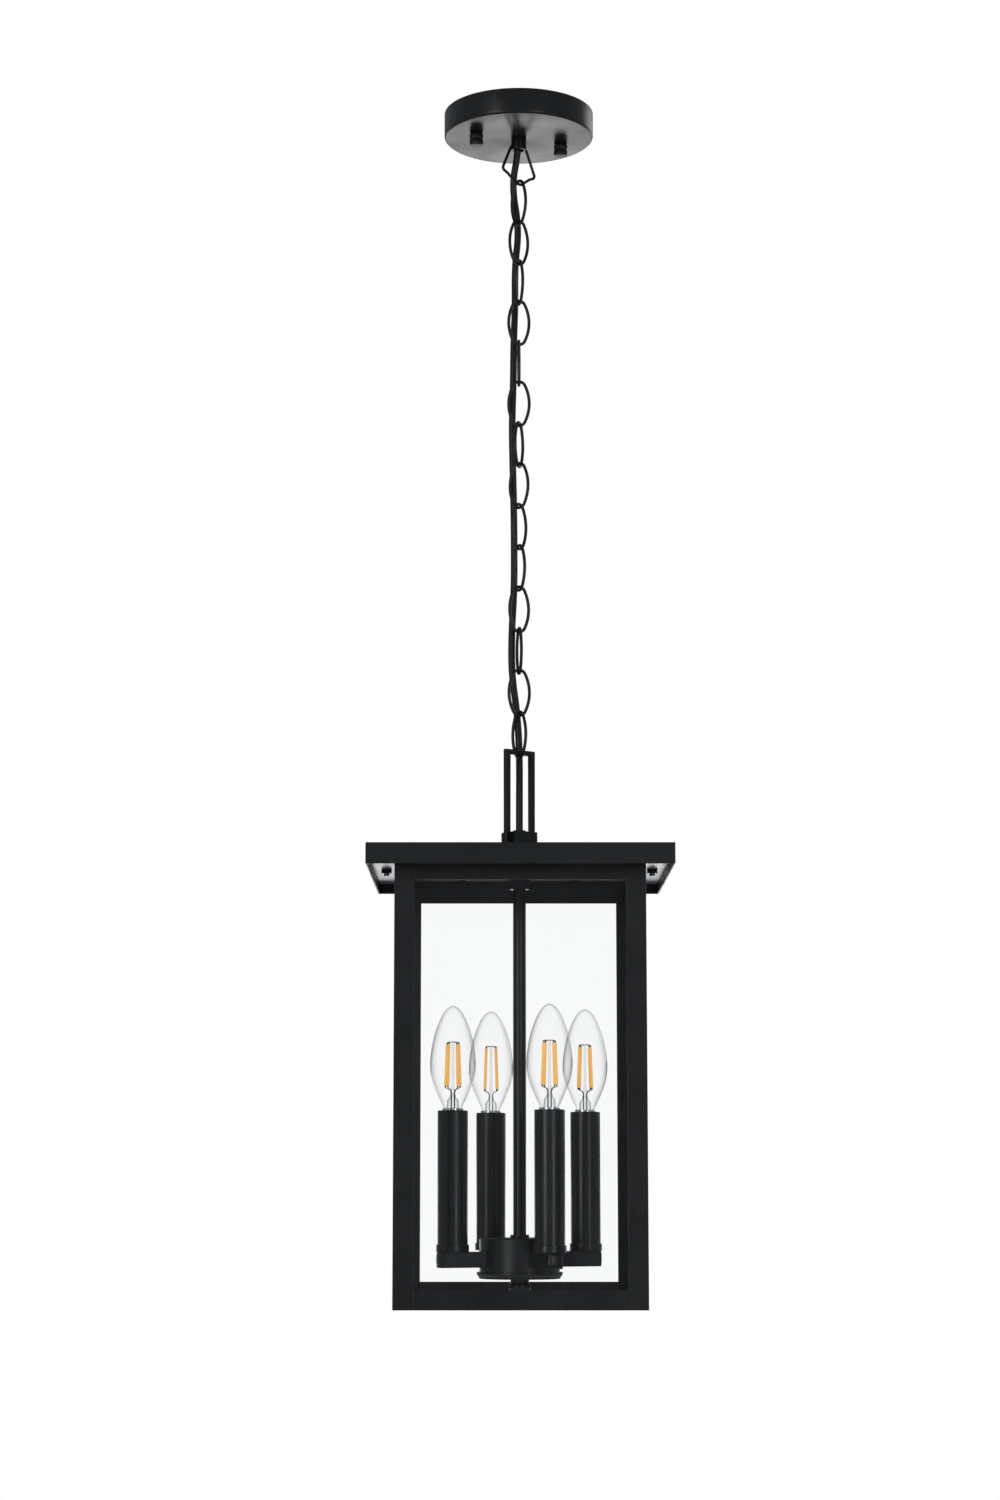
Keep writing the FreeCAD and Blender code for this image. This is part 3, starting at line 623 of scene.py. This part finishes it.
def lamps():
    """Four filament lamps in place of the CAD's plain ones."""
    for number, (centre, turn) in enumerate(zip(CENTRES, LAMP_TURNS), start=1):
        glass, mount, wires, strips, base = (
            f"lamp_{number}_{part}" for part in ("glass", "mount", "wires", "strips", "base"))
        piece(glass, lamp_glass(glass, centre), "lantern", "lamp_glass", "bulb_glass")
        piece(mount, lamp_mount(mount, centre, turn), "lantern", "lamp_glass", "bulb_filaments",
              finish_name="foot_glass")
        piece(wires, lamp_wires(wires, centre, turn), "lantern", "filament", "bulb_filaments",
              finish_name="lead_wire")
        piece(strips, lamp_filaments(strips, centre, turn), "lantern", "filament",
              "bulb_filaments")
        piece(base, lamp_base(base, centre), "lantern", "lamp_base", "bulb_bases")


# ---------------------------------------------------------------- turned metal

FOOT_END, TOP_END = 0, 1
RIM = 0.120650 / 2
WALL = 0.0008
# Each turned piece: its CAD node, how far its edges are rounded, its segments and its profile.
# A profile point is a radius, the end of the node that its level is taken from, and the rise.
TURNED = {
    "canopy_cup": ("canopy", 0.0012, 160, [
        (RIM, TOP_END, 0), (RIM, FOOT_END, 0.0013), (RIM - 0.0013, FOOT_END, 0),
        (0.0052, FOOT_END, 0), (0.0052, FOOT_END, WALL), (RIM - 0.0016, FOOT_END, WALL),
        (RIM - WALL, FOOT_END, 0.0018), (RIM - WALL, TOP_END, 0)]),
    "collar": ("canopy_collar", 0.0004, 96, [
        (0.0049, TOP_END, 0), (0.0061, TOP_END, 0), (0.0061, FOOT_END, 0.0005),
        (0.0055, FOOT_END, 0), (0.0041, FOOT_END, 0), (0.0041, FOOT_END, 0.005),
        (0.0049, FOOT_END, 0.005)]),
    "stem_tube": ("stem", 0.0002, 48, [
        (0.0035, TOP_END, 0), (0.0050, TOP_END, 0), (0.0050, FOOT_END, 0), (0.0035, FOOT_END, 0)]),
    "seat_ring": ("stem_seat", 0.0005, 48, [
        (0.0050, TOP_END, 0), (0.0073, TOP_END, 0), (0.0073, FOOT_END, 0), (0.0050, FOOT_END, 0)]),
    "hub_foot": ("hub_base", 0.0006, 96, [
        (0.0050, TOP_END, 0), (0.0333, TOP_END, 0), (0.0333, TOP_END, -0.0018),
        (0.0317, TOP_END, -0.0032), (0.0311, FOOT_END, 0), (0.0050, FOOT_END, 0)]),
    "finial": ("hub_finial", 0.0006, 64, [
        (0.001, TOP_END, 0), (0.00725, TOP_END, 0), (0.00725, TOP_END, -0.0034),
        (0.00865, TOP_END, -0.0046), (0.00865, FOOT_END, 0.0006), (0.0080, FOOT_END, 0),
        (0.001, FOOT_END, 0)]),
    "cup": ("candle_cups", 0.0005, 64, [
        (0.0035, FOOT_END, 0), (0.0126, FOOT_END, 0), (0.0126, TOP_END, 0), (0.0117, TOP_END, 0),
        (0.0117, FOOT_END, 0.0015), (0.0035, FOOT_END, 0.0015)]),
    "sleeve": ("candle_sleeves", 0.00045, 64, [
        (0.0104, FOOT_END, 0), (0.0116, FOOT_END, 0), (0.0116, TOP_END, 0), (0.0104, TOP_END, 0)]),
}


def rounded(profile, radius):
    """A closed profile with each corner turned into a small arc."""
    steps = 4
    result = []
    count = len(profile)
    for index, corner in enumerate(profile):
        here = Vector(corner)
        back = Vector(profile[index - 1]) - here
        onward = Vector(profile[(index + 1) % count]) - here
        reach = min(radius, back.length * 0.4, onward.length * 0.4)
        first, last = here + back.normalized() * reach, here + onward.normalized() * reach
        for step in range(steps + 1):
            t = step / steps
            result.append(tuple(first * (1 - t) ** 2 + here * (2 * t * (1 - t)) + last * t * t))
    return result


def limits(node):
    """A node's lowest and highest levels."""
    low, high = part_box(node)
    return low[2], high[2]


def turned_metal():
    """Canopy, collar, stem, hub and candles, one piece for each place they stand in."""
    for name, (node, edge, segments, outline) in TURNED.items():
        ends = limits(node)
        profile = [(radius, ends[end] + rise) for radius, end, rise in outline]
        body = "ceiling_mount" if node.startswith("canopy") else "lantern"
        centres = CENTRES if node.startswith("candle") else [(0, 0)]
        for number, centre in enumerate(centres, start=1):
            shape = bmesh.new()
            lathe(shape, rounded(profile, edge), centre, segments)
            label = name if len(centres) == 1 else f"{name}_{number}"
            piece(label, mesh_from(shape, label), body, "black_paint", node,
                  finish_name="sleeve_paint")


# ---------------------------------------------------------------- bars, sheet metal and caps

# How far each node's edges are rounded.
EASED = {f"corner_post_{corner}": 0.0004 for corner in range(1, 5)}
EASED.update(top_rails=0.0004, bottom_rails=0.0004, roof_cover=0.0005, hanger_loop=0.0003,
             hanger_block=0.0005, lamp_arms=0.0003)
ARM_END = 0.0664
CAP_RISE = 0.0019
CAP_SKIRT = 0.001
CAP_STEPS = 12


def frame_metal():
    """Posts, rails, roof, loop, block and arms: the CAD's shapes with long sharp edges rounded."""
    for node, width in EASED.items():
        shape = bmesh.new()
        shape.from_mesh(NODES[node].data)
        bmesh.ops.remove_doubles(shape, verts=shape.verts, dist=1e-6)
        bmesh.ops.dissolve_limit(shape, angle_limit=math.radians(1), verts=shape.verts,
                                 edges=shape.edges)
        sharp = [edge for edge in shape.edges
                 if len(edge.link_faces) == 2 and edge.calc_face_angle(0) > math.radians(30)
                 and edge.calc_length() > 4 * width]
        bmesh.ops.bevel(shape, geom=sharp, offset=width, segments=3, profile=0.5, affect="EDGES",
                        clamp_overlap=False)
        for face in shape.faces:
            face.smooth = False
        name = f"{node}_eased"
        mesh = bpy.data.meshes.new(name)
        shape.to_mesh(mesh)
        shape.free()
        piece(name, mesh, "lantern", "black_paint", node)


def arm_caps():
    """A domed cap in the end of each arm."""
    low, high = limits("arm_plugs")
    half = (high - low) / 2
    marks = [-1 + 2 * step / CAP_STEPS for step in range(CAP_STEPS + 1)]
    for number, angle in enumerate(CANDLES, start=1):
        out = across(angle)
        side = Vector((-math.sin(angle), math.cos(angle), 0))
        middle = out * ARM_END + up((low + high) / 2)
        shape = bmesh.new()
        grid = []
        for v in marks:
            grid.append([])
            for u in marks:
                rise = CAP_RISE * math.sqrt(max(0, (1 - u * u) * (1 - v * v)))
                place = middle + side * (u * half) + up(v * half) + out * rise
                grid[-1].append(shape.verts.new(place))
        for lower, upper in zip(grid, grid[1:]):
            for column in range(CAP_STEPS):
                shape.faces.new((lower[column], lower[column + 1],
                                 upper[column + 1], upper[column]))
        rim = (grid[0] + [row[-1] for row in grid[1:]] + grid[-1][-2::-1]
               + [row[0] for row in grid[-2:0:-1]])
        back = [shape.verts.new(vertex.co - out * CAP_SKIRT) for vertex in rim]
        for step in range(len(rim)):
            onward = (step + 1) % len(rim)
            shape.faces.new((rim[step], back[step], back[onward], rim[onward]))
        shape.faces.new(back)
        for face in shape.faces:
            face.smooth = True
        name = f"arm_cap_{number}"
        piece(name, mesh_from(shape, name), "lantern", "black_paint", "arm_plugs")


# ---------------------------------------------------------------- knurled nuts

NUT_PLACE = 0.0365
NUT_YAW = math.radians(20)
NUT_RADIUS = 0.0055
RIDGES = 30
RIDGE_DEPTH = 0.00022


def cap_nuts():
    """Two thumb nuts with knurled bands either side of a groove."""
    foot, top = limits("canopy_cap_nuts")
    rim = NUT_RADIUS
    profile = [
        (0, top), (rim - 0.0011, top), (rim - 0.0009, top - 0.0004), (rim - 0.0003, top - 0.0009),
        (rim, top - 0.0012), (rim, top - 0.0043), (rim - 0.0003, top - 0.0046),
        (rim - 0.0006, top - 0.0049), (rim - 0.0006, top - 0.0054), (rim - 0.0003, top - 0.0057),
        (rim, top - 0.006), (rim, foot + 0.0009), (rim - 0.0002, foot + 0.0005),
        (rim - 0.0009, foot + 0.0001), (rim - 0.0012, foot), (0, foot)]
    for number, side in enumerate((-1, 1), start=1):
        centre = (side * NUT_PLACE * math.cos(NUT_YAW), side * NUT_PLACE * math.sin(NUT_YAW))
        shape = bmesh.new()
        lathe(shape, profile, centre, RIDGES * 4, closed=False)
        for vertex in shape.verts:
            offset = vertex.co - Vector((centre[0], centre[1], vertex.co.z))
            if offset.length > rim - 0.00005:
                turn = math.atan2(offset.y, offset.x) * RIDGES
                vertex.co -= offset.normalized() * RIDGE_DEPTH * (0.5 - 0.5 * math.cos(turn))
        name = f"cap_nut_{number}"
        piece(name, mesh_from(shape, name), "ceiling_mount", "black_paint", "canopy_cap_nuts")


def quiet_glass():
    """Keep bounced light off the glass: its tiny mirrored spots would speckle the black paint."""
    for thing in bpy.data.objects:
        if "glass" in thing.name and "clips" not in thing.name:
            thing.visible_diffuse = False
            thing.visible_glossy = False


camera()
floor()
studio()
dress_nodes()
supply_cord()
lamps()
turned_metal()
frame_metal()
arm_caps()
cap_nuts()
quiet_glass()
